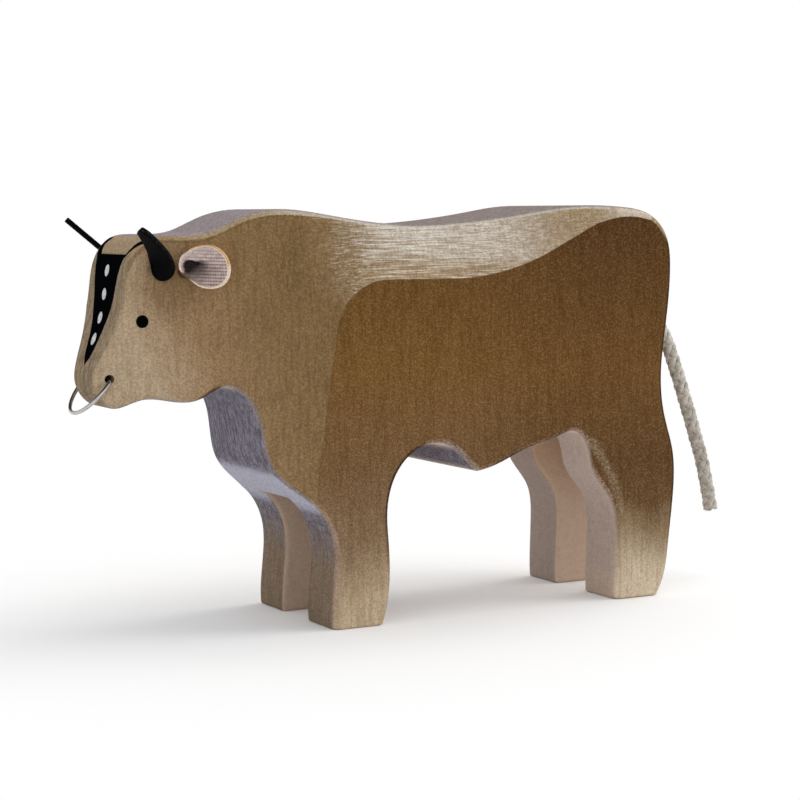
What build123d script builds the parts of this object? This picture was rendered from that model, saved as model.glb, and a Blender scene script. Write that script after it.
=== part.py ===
from build123d import *
import math
import os

# A bull cut from one thick board and carved at the neck, back and muzzle, standing on four
# legs. Leather horns and ears are set in drilled holes, a wire ring swings in a hole through
# the muzzle, and a cotton cord tail is glued in the rump. Millimetres, +Z up. The nose points
# to -X and the bull's left side to -Y. The origin is under the middle, on the floor.

# Body: the board, its outline and the rounding of its edges
body_length = 124.5
body_height = 81.3
body_thickness = 34.0
edge_radius = 1.6
hoof_edge_radius = 0.6
overrun = 4.0
touch = 0.02

# The outline runs from the front hoof's heel round to its toe, in shares of the body's
# length, measured from the nose, and of its height.
front_leg_back_shares = [(0.442, 0), (0.455, 0.090), (0.454, 0.206), (0.452, 0.258),
                         (0.460, 0.333), (0.491, 0.401), (0.533, 0.427), (0.571, 0.411),
                         (0.600, 0.369), (0.616, 0.353)]
belly_and_hind_leg_shares = [(0.616, 0.353), (0.650, 0.365), (0.698, 0.394), (0.761, 0.422),
                             (0.804, 0.432), (0.823, 0.396), (0.832, 0.340), (0.871, 0.250),
                             (0.879, 0.159), (0.878, 0)]
rear_and_top_shares = [(0.966, 0), (0.976, 0.027), (0.991, 0.138), (1.000, 0.262),
                       (0.998, 0.374), (0.981, 0.464), (0.973, 0.566), (0.980, 0.676),
                       (0.990, 0.845), (0.981, 0.925), (0.953, 0.973), (0.892, 0.996),
                       (0.839, 1.000), (0.780, 0.995), (0.727, 0.983), (0.618, 0.962),
                       (0.497, 0.954), (0.385, 0.974), (0.280, 0.991), (0.224, 0.972),
                       (0.170, 0.939), (0.108, 0.934), (0.074, 0.926), (0.050, 0.886),
                       (0.037, 0.790), (0.020, 0.695), (0.005, 0.638), (0, 0.603),
                       (0.012, 0.557), (0.037, 0.536), (0.076, 0.555), (0.124, 0.549),
                       (0.165, 0.558), (0.200, 0.581), (0.227, 0.555), (0.247, 0.486),
                       (0.263, 0.385), (0.288, 0.341), (0.335, 0.278), (0.355, 0.213),
                       (0.357, 0.130), (0.353, 0)]

# The slots that part the left legs from the right
slot_width = 10.6
slot_edge_radius = 1.0
front_slot_height = 24.8
hind_slot_height = 34.0
front_slot_end_share = 0.600
hind_slot_start_share = 0.775

# The carving: one hollow swept along a crease that climbs the shoulder and follows the back
crease_shares = [(0.326, -0.060), (0.326, 0.344), (0.374, 0.824), (0.665, 0.823),
                 (0.960, 1.045)]
crease_radii = [60.0, 11.0, 52.0]
hollow_reach = 50.0
hollow_depth = 7.8
hollow_shares = [(-0.04, -0.12), (0, 0), (0.20, 0.50), (0.32, 0.69), (0.48, 0.79),
                 (0.80, 0.95), (1, 1)]

# The muzzle's two flats, each through a line across the cheek and the tip of the nose
nose_half_width = 4.8
cheek_half_width = 9.6
cheek_top_shares = (0.061, 0.715)
cheek_low_shares = (0.108, 0.582)
nose_tip_shares = (0.001, 0.597)

# Nose ring: a wire ring whose ends are sprung into the hole through the muzzle
ring_hole_diameter = 1.7
ring_hole_shares = (0.0255, 0.6065)
wire_diameter = 0.75
wire_play = 0.05
ring_radius = 6.5
ring_centre_reach = 1.3
ring_end_length = 2.4
ring_bend_radius = 0.6
ring_hang_angle = 51.0

# Horns: flat leather, each with a rolled root in a drilled hole
horn_thickness = 1.1
horn_lengths = {"left_horn": 14.4, "right_horn": 15.5}
horn_width = 4.9
horn_outline_shares = [(0.02, -0.43), (0.20, -0.36), (0.41, -0.23), (0.60, -0.18),
                       (0.88, -0.16), (1.00, 0.155), (0.944, 0.465), (0.73, 0.73),
                       (0.535, 0.85), (0.365, 0.84), (0.06, 0.49)]
horn_root_diameter = 4.4
horn_root_depth = 5.0
horn_root_shares = (0.100, 0.856)
horn_seat_half_width = 10.0
horn_lift = 0.2
horn_face = (0.6, 0.2, 0.8)
horn_directions = {"left_horn": (-0.583, -0.610, 0.536), "right_horn": (-0.557, 0.560, 0.613)}

# Ears: cupped leather, each with a pinched stem in a drilled hole
ear_thickness = 1.2
ear_length = 10.4
ear_width = 8.2
ear_cup_radius = 9.0
ear_reach = 4.9
ear_rise = 0.6
ear_stand = 0.8
ear_stem_diameter = 1.8
ear_stem_depth = 4.5
ear_root_shares = (0.131, 0.847)
ear_seat_half_width = 10.6
ear_lift = 0.2
ear_direction = (0.6, 0.79, 0.1)
leather_play = 0.05

# Tail: a limp cotton cord with a cut end, glued in a hole in the rump
tail_diameter = 3.2
tail_play = 0.05
tail_hole_depth = 3.5
tail_root_shares = (0.983, 0.738)
tail_route = [(-3.5, 0, 0), (4.2, 0, 0), (10.5, 0, -4.9), (14.5, 0, -14.5),
              (18.6, 0, -25.8), (22.5, 0, -37.1), (24.1, 0, -45.5)]
bend_run_share = 0.45

ring_front = body_length * ring_hole_shares[0] - wire_diameter / 2 \
    - (ring_radius + ring_centre_reach) * math.cos(math.radians(ring_hang_angle))
nose_x = (max(0, -ring_front) - body_length) / 2


def spot(share, y=0):
    """A point of the board from shares of its length and height, at a distance across it."""
    return Vector(nose_x + body_length * share[0], y, body_height * share[1])


def stretch(shares):
    """A smooth stretch of the outline."""
    return Spline(*[spot(share) for share in shares])


def board():
    """The block as it leaves the saw."""
    stretches = [front_leg_back_shares, belly_and_hind_leg_shares, rear_and_top_shares]
    curves = [stretch(shares) for shares in stretches]
    outline = [curves[0], curves[1], Line(curves[1] @ 1, curves[2] @ 0), curves[2],
               Line(curves[2] @ 1, curves[0] @ 0)]
    profile = Pos(0, -body_thickness / 2, 0) * make_face(Wire(outline))
    return extrude(profile, body_thickness, dir=(0, 1, 0))


def hollow():
    """What the carving takes off the left side: a section swept along the crease."""
    crease = FilletPolyline(*[spot(share) for share in crease_shares], radius=crease_radii)
    skin = Spline(*[(hollow_reach * along, body_thickness / 2 - hollow_depth * share)
                    for along, share in hollow_shares])
    outside = body_thickness / 2 + overrun
    inner, outer = skin @ 0, skin @ 1
    sides = Polyline(outer, (outer.X, outside), (inner.X, outside), inner)
    start = Plane(origin=crease @ 0, x_dir=(-1, 0, 0), z_dir=(0, 0, 1))
    return sweep(start * make_face([skin, sides]), path=crease)


def muzzle_flat():
    """What one flat takes off the left of the muzzle."""
    top = spot(cheek_top_shares, -cheek_half_width)
    low = spot(cheek_low_shares, -cheek_half_width)
    tip = spot(nose_tip_shares, -nose_half_width)
    outward = (low - top).cross(tip - top)
    if outward.Y > 0:
        outward = -outward
    size = cheek_half_width * 4
    flat = Plane(origin=(top + low) / 2, x_dir=low - top, z_dir=outward)
    return flat * Box(size, size, size, align=(Align.CENTER, Align.CENTER, Align.MIN))


def both_sides(cut):
    """The cut with its twin on the other side."""
    return [cut, mirror(cut, about=Plane.XZ)]


def rounded(bull):
    """The carved block with every edge between its outline and its sides rounded."""
    outline_faces = [face for face in bull.faces()
                     if abs(face.center().Y) < edge_radius
                     and abs(face.normal_at(face.center()).Y) < edge_radius / body_length]
    outline_edges = [edge for face in outline_faces for edge in face.edges()]
    sharp = [edge for edge in bull.edges()
             if abs(edge.center().Y) > edge_radius
             and edge.bounding_box().max.Z > edge_radius
             and any(edge.is_same(other) for other in outline_edges)]
    return fillet(sharp, edge_radius)


def slot(start, end, height):
    """The slot between the left and right legs, over a stretch of the board."""
    length = end - start
    block = Box(length, slot_width, height + overrun,
                align=(Align.MIN, Align.CENTER, Align.MIN))
    return Pos(nose_x + start, 0, -overrun) * block


def softened(bull):
    """The slotted block with the upright edges of its slots, then its hooves' rims, rounded."""
    upright = [edge for edge in bull.edges()
               if abs(abs(edge.center().Y) - slot_width / 2) < touch
               and edge.bounding_box().size.Y < touch
               and edge.bounding_box().size.Z > slot_width / 2]
    bull = fillet(upright, slot_edge_radius)
    return fillet([edge for edge in bull.edges() if edge.bounding_box().max.Z < touch],
                  hoof_edge_radius)


def bar(start, along, diameter, length):
    """A round bar from a point along a direction."""
    rod = Cylinder(diameter / 2, length, align=(Align.CENTER, Align.CENTER, Align.MIN))
    return Plane(origin=start, z_dir=along) * rod


def sideways(direction, side):
    """The direction turned to the side: -1 for the left, 1 for the right."""
    return Vector(direction[0], side * abs(direction[1]), direction[2]).normalized()


def outside(seat, side, lift):
    """Everything on one side of the head beyond a seat, and clear of it by a lift."""
    room = Box(body_length, body_length, body_length,
               align=(Align.CENTER, Align.MIN if side > 0 else Align.MAX, Align.CENTER))
    return Pos(seat.X, seat.Y + side * lift, seat.Z) * room


def plug(seat, side, diameter, depth, stand):
    """A round root set straight into the side of the head, or with play its hole."""
    bottom = seat - Vector(0, side * depth, 0)
    return bar(bottom, (0, side, 0), diameter, depth + stand)


def horn_seat(side):
    """The middle of a horn's hole."""
    return spot(horn_root_shares, side * horn_seat_half_width)


def ear_seat(side):
    """The middle of an ear's hole."""
    return spot(ear_root_shares, side * ear_seat_half_width)


def horn(name, side):
    """Flat leather cut like a comma, clear of the head, on its root."""
    along = sideways(horn_directions[name], side)
    face = Vector(horn_face[0], side * -horn_face[1], horn_face[2])
    across = face.cross(along).normalized() * -side
    seat = horn_seat(side)
    outline = Polyline(*[seat + along * (horn_lengths[name] * far) + across * (horn_width * wide)
                         for far, wide in horn_outline_shares], close=True)
    blade = extrude(make_face(outline), horn_thickness / 2, both=True)
    root = plug(seat, side, horn_root_diameter, horn_root_depth, horn_lift + horn_thickness / 2)
    return (blade & outside(seat, side, horn_lift)) + root


def ear(side):
    """A cupped oval of leather on its pinched stem."""
    seat = ear_seat(side)
    along = sideways(ear_direction, side)
    facing = along.cross(Vector(0, 0, -side)).normalized()
    upward = along.cross(facing) * side
    middle = ear_cup_radius + ear_thickness / 2
    sag = middle - math.sqrt(middle ** 2 - (ear_length / 2) ** 2)
    low = seat + along * ear_reach + upward * ear_rise + facing * (ear_stand - sag)
    cup = Sphere(ear_cup_radius + ear_thickness) - Sphere(ear_cup_radius)
    oval = extrude(Ellipse(ear_length / 2, ear_width / 2), middle)
    dish = Pos(0, 0, middle) * cup & Pos(0, 0, -ear_thickness) * oval
    dish = Plane(origin=low, x_dir=along, z_dir=facing) * dish
    stem = plug(seat, side, ear_stem_diameter, ear_stem_depth, ear_lift + ear_thickness)
    return (dish & outside(seat, side, ear_lift)) + stem


def ring_hinge():
    """The middle of the wire where it lies on the bottom of its hole."""
    drop = (ring_hole_diameter - wire_diameter) / 2 - wire_play
    return spot(ring_hole_shares) - Vector(0, 0, drop)


def nose_ring():
    """A round wire ring, open at the top, with its two ends turned in to its hole."""
    half = math.sqrt(ring_radius ** 2 - ring_centre_reach ** 2)
    inside = half - ring_end_length
    path = Wire([Line((0, -inside), (0, -half)),
                 ThreePointArc((0, -half), (ring_centre_reach + ring_radius, 0), (0, half)),
                 Line((0, half), (0, inside))])
    bends = [vertex for vertex in path.vertices() if abs(abs(vertex.Y) - half) < wire_play]
    path = path.fillet_2d(ring_bend_radius, bends)
    hang = math.radians(ring_hang_angle)
    lie = Plane(origin=ring_hinge(), x_dir=(-math.cos(hang), 0, -math.sin(hang)),
                z_dir=(math.sin(hang), 0, -math.cos(hang)))
    path = lie * path
    return sweep(Plane(origin=path @ 0, z_dir=path % 0) * Circle(wire_diameter / 2), path=path)


def tail_mouth():
    """The middle of the tail's hole, on the rump."""
    return spot(tail_root_shares)


def tail():
    """The cord, as a round tube from the bottom of its hole to its cut end."""
    route = [tail_mouth() + Vector(*point) for point in tail_route]
    runs = [end - start for start, end in zip(route, route[1:])]
    radii = [bend_run_share * min(before.length, after.length)
             / math.tan(math.radians(before.get_angle(after)) / 2)
             for before, after in zip(runs, runs[1:])]
    path = FilletPolyline(*route, radius=radii)
    cord = sweep(Plane(origin=path @ 0, z_dir=path % 0) * Circle(tail_diameter / 2), path=path)
    expected = math.pi * tail_diameter ** 2 / 4 * path.length
    print("tail radii", [round(radius, 1) for radius in radii], "length", round(path.length, 1),
          "volume", round(cord.volume, 1), "expected", round(expected, 1))
    return cord


def body():
    """The carved wooden bull, with its drilled holes."""
    bull = board()
    for cut in both_sides(hollow()) + both_sides(muzzle_flat()):
        bull -= cut
    bull = rounded(bull)
    bull -= slot(0, front_slot_end_share * body_length, front_slot_height)
    bull -= slot(hind_slot_start_share * body_length, body_length + overrun, hind_slot_height)
    bull = softened(bull)
    bull -= bar(spot(ring_hole_shares, -body_thickness), (0, 1, 0), ring_hole_diameter,
                body_thickness * 2)
    bull -= bar(tail_mouth() - Vector(tail_hole_depth, 0, 0), (1, 0, 0),
                tail_diameter + 2 * tail_play, tail_hole_depth + overrun)
    for side in (-1, 1):
        bull -= plug(horn_seat(side), side, horn_root_diameter + 2 * leather_play,
                     horn_root_depth, overrun)
        bull -= plug(ear_seat(side), side, ear_stem_diameter + 2 * leather_play,
                     ear_stem_depth, overrun)
    return bull


pieces = {
    "body": body(),
    "left_horn": horn("left_horn", -1),
    "right_horn": horn("right_horn", 1),
    "left_ear": ear(-1),
    "right_ear": ear(1),
    "nose_ring": nose_ring(),
    "tail": tail(),
}
os.makedirs("parts", exist_ok=True)
for name, piece in pieces.items():
    export_step(piece, f"parts/{name}.step")
    print(name, len(piece.solids()), round(piece.volume, 1), piece.is_valid)
hinge = ring_hinge()
print("nose", round(nose_x, 2), "ring hinge", round(hinge.X, 3), round(hinge.Z, 3))
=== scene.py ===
import math
import bpy
import numpy as np
from mathutils import Matrix, Vector


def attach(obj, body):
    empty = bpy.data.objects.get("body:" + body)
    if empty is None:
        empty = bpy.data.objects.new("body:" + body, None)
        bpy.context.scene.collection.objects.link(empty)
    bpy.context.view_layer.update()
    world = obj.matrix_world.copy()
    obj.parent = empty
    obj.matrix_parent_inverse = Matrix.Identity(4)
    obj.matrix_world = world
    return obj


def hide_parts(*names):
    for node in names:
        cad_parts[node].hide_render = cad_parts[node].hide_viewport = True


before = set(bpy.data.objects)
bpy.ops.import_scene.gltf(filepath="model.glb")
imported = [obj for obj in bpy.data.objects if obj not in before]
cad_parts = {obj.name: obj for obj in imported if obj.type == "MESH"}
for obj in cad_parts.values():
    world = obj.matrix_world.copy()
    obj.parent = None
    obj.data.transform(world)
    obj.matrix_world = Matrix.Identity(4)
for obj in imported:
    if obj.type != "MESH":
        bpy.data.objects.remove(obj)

# A carved and stained wooden bull: leather horns and ears, a wire nose ring, a braided cotton tail.
# Metres, +Z up, nose to -X, the bull's left side to -Y. Sizes in the dictionaries are millimetres.
mm = 0.001
scene = bpy.context.scene
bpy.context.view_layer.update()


def unit(v):
    v = np.asarray(v, float)
    return v / np.linalg.norm(v)


def smooth(x, low, high):
    t = np.clip((np.asarray(x, float) - low) / (high - low), 0, 1)  # 0 below low, 1 above high
    return t * t * (3 - 2 * t)


# Camera: the place and angle that the photograph was taken from

camera = {"place": (-198.57, -370.64, 79.60), "azimuth": -28.98, "elevation": 5.06, "roll": -0.15,
          "lens": 94.5, "sensor": 36.0, "clip": 0.01}


def placeCamera(c):
    a, e, r = (math.radians(c[k]) for k in ("azimuth", "elevation", "roll"))
    back = Vector((math.sin(a) * math.cos(e), -math.cos(a) * math.cos(e), math.sin(e)))
    right = Vector((math.cos(a), math.sin(a), 0))
    up = back.cross(right)
    right, up = right * math.cos(r) + up * math.sin(r), up * math.cos(r) - right * math.sin(r)
    data = bpy.data.cameras.new("photoCamera")
    data.lens, data.sensor_width, data.clip_start = c["lens"], c["sensor"], c["clip"]
    made = bpy.data.objects.new("photoCamera", data)
    turn = Matrix((right, up, back)).transposed().to_4x4()
    made.matrix_world = Matrix.Translation(Vector(c["place"]) * mm) @ turn
    scene.collection.objects.link(made)
    scene.camera = made


placeCamera(camera)
print("camera set")


# Materials: sockets with arithmetic, and one method for every node
# A finish is laid up in layers: (tone or surface, share, zones). A zone (name, low, high) runs from 0 at low
# to 1 at high, a bare name is a mask, and w holds everything that has a name.

even = (1, 1, 1)  # the stretch of a grain that runs no way in particular


class Sock:
    def __init__(self, paint, socket):
        self.paint, self.socket = paint, socket

    def math(self, operation, *values):
        return self.paint.node("ShaderNodeMath", {"operation": operation}, dict(enumerate(values)))

    def __add__(self, other):
        return self.math("ADD", self, other)

    def __radd__(self, other):
        return self.math("ADD", other, self)

    def __sub__(self, other):
        return self.math("SUBTRACT", self, other)

    def __rsub__(self, other):
        return self.math("SUBTRACT", other, self)

    def __mul__(self, other):
        return self.math("MULTIPLY", self, other)

    def __rmul__(self, other):
        return self.math("MULTIPLY", other, self)

    def __truediv__(self, other):
        return self.math("DIVIDE", self, other)

    def __pow__(self, other):
        return self.math("POWER", self, other)

    def __or__(self, other):
        return self.math("MAXIMUM", self, other)

    def __and__(self, other):
        return self.math("MINIMUM", self, other)

    def __abs__(self):
        return self.math("ABSOLUTE", self)


class Paint:
    def __init__(self, name, tree=None):
        if tree is None:
            self.material = bpy.data.materials.new(name)
            self.material.use_nodes = True
            tree = self.material.node_tree
        self.tree = tree
        self.tree.nodes.clear()

    def node(self, kind, settings, sockets, out=0):
        made = self.tree.nodes.new(kind)
        for key, value in settings.items():
            if key == "stops":
                ramp = made.color_ramp.elements
                ramp.remove(ramp[1])
                ramp[0].position, ramp[0].color = value[0][0], (*value[0][1], 1.0)
                for place, colour in value[1:]:
                    ramp.new(place).color = (*colour, 1.0)
            else:
                setattr(made, key, value)
        for key, value in sockets.items():
            if isinstance(value, Sock):
                self.tree.links.new(value.socket, made.inputs[key])
            elif isinstance(value, tuple) and len(value) == 3 and made.inputs[key].type == "RGBA":
                made.inputs[key].default_value = (*value, 1.0)
            else:
                made.inputs[key].default_value = value
        return Sock(self, made.outputs[out]) if made.outputs else None

    def place(self):  # object coordinates in millimetres
        at = self.node("ShaderNodeTexCoord", {}, {}, "Object")
        return self.node("ShaderNodeVectorMath", {"operation": "SCALE"}, {0: at, "Scale": 1000.0})

    def split(self, vector):
        cut = self.node("ShaderNodeSeparateXYZ", {}, {0: vector})
        return [Sock(self, out) for out in cut.socket.node.outputs]

    def mark(self):  # the three numbers that gridMesh keeps at every point
        return self.split(self.node("ShaderNodeAttribute", {"attribute_name": "mark"}, {}, "Vector"))

    def stretch(self, vector, amounts):
        return self.node("ShaderNodeVectorMath", {"operation": "MULTIPLY"}, {0: vector, 1: amounts})

    def distance(self, vector, point):
        return self.node("ShaderNodeVectorMath", {"operation": "DISTANCE"}, {0: vector, 1: point}, "Value")

    def noise(self, vector, scale, detail=2.0, rough=0.5):
        return self.node("ShaderNodeTexNoise", {},
                         {"Vector": vector, "Scale": scale, "Detail": detail, "Roughness": rough})

    def wave(self, x):
        return self.node("ShaderNodeMath", {"operation": "SINE"}, {0: x})

    def step(self, x, low, high):  # 0 at low, 1 at high, smooth between
        return self.node("ShaderNodeMapRange", {"interpolation_type": "SMOOTHSTEP"},
                         {0: x, 1: low, 2: high, 3: 0.0, 4: 1.0})

    def ramp(self, x, low, high, stops):  # colours along x, their places in x's own units
        stops = [((at - low) / (high - low), colour) for at, colour in stops]
        return self.node("ShaderNodeValToRGB", {"stops": stops}, {0: (x - low) / (high - low)})

    def mix(self, share, a, b, blend="MIX"):
        return self.node("ShaderNodeMix", {"data_type": "RGBA", "blend_type": blend},
                         {0: share, 6: a, 7: b}, 2)

    def named(self, look, at):  # a finish's tones, and its noises over the places in at
        grains = {name: self.noise(self.stretch(at, stretch), *grain)
                  for name, (stretch, *grain) in look["grains"].items()}
        return {**look["tones"], **grains}

    def mask(self, w, share, zones):  # the share, times each zone
        for zone in zones:
            share = (w[zone] if isinstance(zone, str) else self.step(w[zone[0]], *zone[1:])) * share
        return share

    def layered(self, w, surfaces):
        # a surface is a base with layers over it, and the last one is the whole finish
        for surface, (base, layers) in surfaces.items():
            w[surface] = w[base]
            for name, share, *zones in layers:
                w[surface] = self.mix(self.mask(w, share, zones), w[surface], w[name])
        return w[surface]

    def relief(self, w, shares, strength, depth):  # a bump: each named height by its share
        height = sum(w[name] * share for name, share in shares.items())
        return self.node("ShaderNodeBump", {},
                         {"Strength": strength, "Distance": depth, "Height": height})

    def surface(self, **sockets):
        names = {"colour": "Base Color", "rough": "Roughness", "metal": "Metallic", "normal": "Normal",
                 "specular": "Specular IOR Level"}
        shader = self.node("ShaderNodeBsdfPrincipled", {},
                           {names[key]: value for key, value in sockets.items()})
        self.node("ShaderNodeOutputMaterial", {}, {"Surface": shader})
        return self.material


def tone(r, g, b):  # a colour as a picture shows it, made linear
    return tuple(((c / 255 + 0.055) / 1.055) ** 2.4 if c > 10 else c / 255 / 12.92 for c in (r, g, b))


# Meshes from grids of points

def gridMesh(name, grids, marks=None):
    # each grid is rows by columns of points: a column joins the next and the last the first, each row
    # joins the next, and both ends are fans to their middle; marks are three numbers for every point
    points, faces, kept, base = [], [], [], 0
    for index, grid in enumerate(grids):
        rows, cols, _ = grid.shape
        layers = [grid] if marks is None else [grid, marks[index]]
        for store, layer in zip((points, kept), layers):
            store += [layer.reshape(-1, 3), layer[[0, -1]].mean(axis=1)]
        i, j = np.meshgrid(np.arange(rows - 1), np.arange(cols), indexing="ij")
        k = (j + 1) % cols
        quads = np.stack([i * cols + j, i * cols + k, (i + 1) * cols + k, (i + 1) * cols + j], -1)
        faces += (quads.reshape(-1, 4) + base).tolist()
        j = np.arange(cols)
        k = (j + 1) % cols
        first, last = rows * cols, rows * cols + 1
        faces += (np.stack([k, j, np.full(cols, first)], -1) + base).tolist()
        faces += (np.stack([(rows - 1) * cols + j, (rows - 1) * cols + k, np.full(cols, last)], -1)
                  + base).tolist()
        base += rows * cols + 2
    mesh = bpy.data.meshes.new(name)
    mesh.from_pydata(np.concatenate(points).tolist(), [], faces)
    if marks is not None:
        layer = mesh.attributes.new("mark", "FLOAT_VECTOR", "POINT")
        layer.data.foreach_set("vector", np.concatenate(kept).astype(np.float32).ravel())
    mesh.polygons.foreach_set("use_smooth", np.ones(len(mesh.polygons), bool))
    mesh.validate()
    made = bpy.data.objects.new(name, mesh)
    scene.collection.objects.link(made)
    return made


def dress(piece, bodyName, slot, material, *nodes):
    piece.data.materials.clear()
    piece.data.materials.append(material)
    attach(piece, bodyName)
    if nodes:
        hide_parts(*nodes)
    return piece


# Tail: eight cotton strands braided round the cord's route, cut off square

tail = {"route": [(57.688, 0, 60.0), (65.388, 0, 60.0), (71.688, 0, 55.1), (75.688, 0, 45.5),
                  (79.788, 0, 34.2), (83.688, 0, 22.9), (85.288, 0, 14.5)],
        "diameter": 3.2, "strands": 4, "pitch": 12.3, "strandWidth": 1.5, "strandDepth": 0.9,
        "middle": 0.92, "weave": 0.22, "core": 0.6, "flare": 0.1, "flareRun": 1.6, "rings": 330, "sides": 14,
        "swells": [(0.05, 900), (0.03, 2300)],  # shares, and radians to the metre along a strand
        "markShift": 3.1, "yarnTwist": (9.5, 2.4),
        "tones": {"yarn": tone(203, 197, 189), "gap": tone(122, 112, 101), "rust": tone(166, 144, 132),
                  "moss": tone(150, 150, 136), "palest": tone(236, 232, 226)},
        "grains": {"soft": (even, 0.9, 3.0, 0.5), "patch": (even, 0.45, 3.0, 0.5),
                   "fine": (even, 6.0, 2.0, 0.5)},
        "turnedIn": (0.38, [("sine", 0.55, -0.25)]), "grooves": (0.12, [("twist", 0.3, 1.0)]),
        "surfaces": {"cord": ("yarn", [
            ("rust", 0.45, ("soft", 0.4, 0.72)),
            ("moss", 0.55, ("patch", 0.42, 0.62)),
            ("palest", 0.45, ("fine", 0.5, 0.8)),
            # painted shade between the strands and between the yarn's turns
            ("gap", 1.0, "between"),
            ("gap", 0.2, ("z", 44.0, 24.0))])},  # darker towards the bottom
        "relief": ({"twist": 0.35, "fine": 0.6}, 0.5, 0.00012), "finish": {"rough": 0.95, "specular": 0.1}}


def routePoints(t, count):
    data = bpy.data.curves.new("tailRoute", "CURVE")
    data.dimensions = "3D"
    spline = data.splines.new("NURBS")
    spline.points.add(len(t["route"]) - 1)
    spline.points.foreach_set("co", np.array([(x * mm, y * mm, z * mm, 1) for x, y, z in t["route"]]).ravel())
    spline.order_u, spline.use_endpoint_u, spline.resolution_u = 3, True, 48
    holder = bpy.data.objects.new("tailRoute", data)
    scene.collection.objects.link(holder)
    line = bpy.data.meshes.new_from_object(holder)
    raw = np.zeros(len(line.vertices) * 3, np.float32)
    line.vertices.foreach_get("co", raw)
    bpy.data.objects.remove(holder)
    raw = raw.reshape(-1, 3).astype(float)
    run = np.r_[0, np.cumsum(np.linalg.norm(np.diff(raw, axis=0), axis=1))]
    at = np.linspace(0, run[-1], count)
    return at, np.stack([np.interp(at, run, raw[:, k]) for k in range(3)], -1)


def makeTail(t):
    at, line = routePoints(t, t["rings"])
    ahead = np.gradient(line, axis=0)
    ahead /= np.linalg.norm(ahead, axis=1, keepdims=True)
    side = np.tile([0.0, 1.0, 0.0], (len(at), 1))
    out = np.cross(side, ahead)
    n, turn = t["strands"], 2 * math.pi * at / (t["pitch"] * mm)
    flare = 1 + t["flare"] * smooth(at, at[-1] - t["flareRun"] * mm, at[-1])  # the cut end opens a little
    rng = np.random.default_rng(7)
    grids, marks = [], []
    around = np.linspace(0, 2 * math.pi, t["sides"], endpoint=False)
    for way in (1, -1):
        for k in range(n):
            # a helix: angle = way * turn + k / n of a circle; radius rises and falls where strands cross
            angle = way * turn + 2 * math.pi * k / n
            radius = (t["middle"] + way * t["weave"] * np.cos(n * turn)) * mm * flare
            outward = side * np.cos(angle)[:, None] + out * np.sin(angle)[:, None]
            centre = line + outward * radius[:, None]
            along = np.gradient(centre, axis=0)
            along /= np.linalg.norm(along, axis=1, keepdims=True)
            across = np.cross(along, outward)
            across /= np.linalg.norm(across, axis=1, keepdims=True)
            up = np.cross(across, along)
            grow = 1 + sum(share * np.sin(at * rate + rng.uniform(0, 6)) for share, rate in t["swells"])
            wide = t["strandWidth"] / 2 * mm * grow[:, None, None]
            deep = t["strandDepth"] / 2 * mm * grow[:, None, None]
            grids.append(centre[:, None] + across[:, None] * (np.cos(around)[None, :, None] * wide)
                         + up[:, None] * (np.sin(around)[None, :, None] * deep))
            mark = np.zeros((len(at), t["sides"], 3))
            mark[..., 0], mark[..., 1] = np.cos(around), np.sin(around)
            mark[..., 2] = at[:, None] / mm + k * t["markShift"]
            marks.append(mark)
    # the core yarn that fills the middle
    inside = t["core"] * mm * (side[:, None] * np.cos(around)[None, :, None] + out[:, None]
                               * np.sin(around)[None, :, None])
    grids.append(line[:, None] + inside)
    marks.append(np.stack(np.broadcast_arrays(0.0, 0.0, at[:, None] / mm + 0 * around), -1))
    return gridMesh("tail_braid", grids, marks), line, at


fuzz = {"count": 150, "endShare": 0.6, "fromRing": 60, "lastRings": 4, "endSpread": (0.1, 0.85), "skin": 0.86,
        "sink": 0.3, "endReach": (0.25, 0.75), "skinReach": (0.2, 0.5), "ahead": (0.6, 1.2),
        "aside": (0.1, 0.6), "droop": 0.4, "thick": 0.035, "taper": 0.6, "rows": 6, "corners": (0, 2.1, 4.2),
        "skew": (0.3, 0.5, 0.8)}


def makeFuzz(f, radius, line):
    # short loose fibres: each a thin three-sided arc that leaves the cord's end or skin
    rng = np.random.default_rng(21)
    grids = []
    steps = np.linspace(0, 1, f["rows"])
    thick = f["thick"] * mm * (1 - f["taper"] * steps)
    side = np.array([0, 1.0, 0])
    for k in range(f["count"]):
        atEnd = k < f["count"] * f["endShare"]
        i = len(line) - 1 if atEnd else int(rng.integers(f["fromRing"], len(line) - f["lastRings"]))
        ahead = unit(line[i] - line[i - 1])
        angle = rng.uniform(0, 2 * math.pi)
        sideways = side * math.cos(angle) + np.cross(side, ahead) * math.sin(angle)
        start = line[i] + sideways * radius * (rng.uniform(*f["endSpread"]) if atEnd else f["skin"])
        start = start - ahead * (f["sink"] * mm if atEnd else 0)
        reach = rng.uniform(*f["endReach" if atEnd else "skinReach"]) * mm
        forward = 1.0 if atEnd else rng.uniform(*f["ahead"])
        lean = unit(ahead * forward + sideways * rng.uniform(*f["aside"]))
        path = start + np.outer(steps * reach, lean) + np.outer(steps ** 2 * reach * f["droop"], sideways)
        u = unit(np.cross(lean, f["skew"]))
        v = np.cross(lean, u)
        ring = np.stack([u * math.cos(a) + v * math.sin(a) for a in f["corners"]])
        grids.append(path[:, None] + ring[None] * thick[:, None, None])
    return gridMesh("tail_fibres", grids, [np.ones_like(g) for g in grids])


def cottonMaterial(t):
    p = Paint("braided_cotton")
    cosine, sine, run = p.mark()
    at = p.place()
    w = {**p.named(t, at), "sine": sine, "z": p.split(at)[2]}
    turns, slant = t["yarnTwist"]
    w["twist"] = p.wave((run * turns) + (cosine * slant))  # the yarn's own, a slant across each strand
    # painted shade where a strand turns in under its neighbours, and between the yarn's turns
    w["between"] = p.mask(w, *t["turnedIn"]) + p.mask(w, *t["grooves"])
    return p.surface(colour=p.layered(w, t["surfaces"]), normal=p.relief(w, *t["relief"]), **t["finish"])


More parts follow.
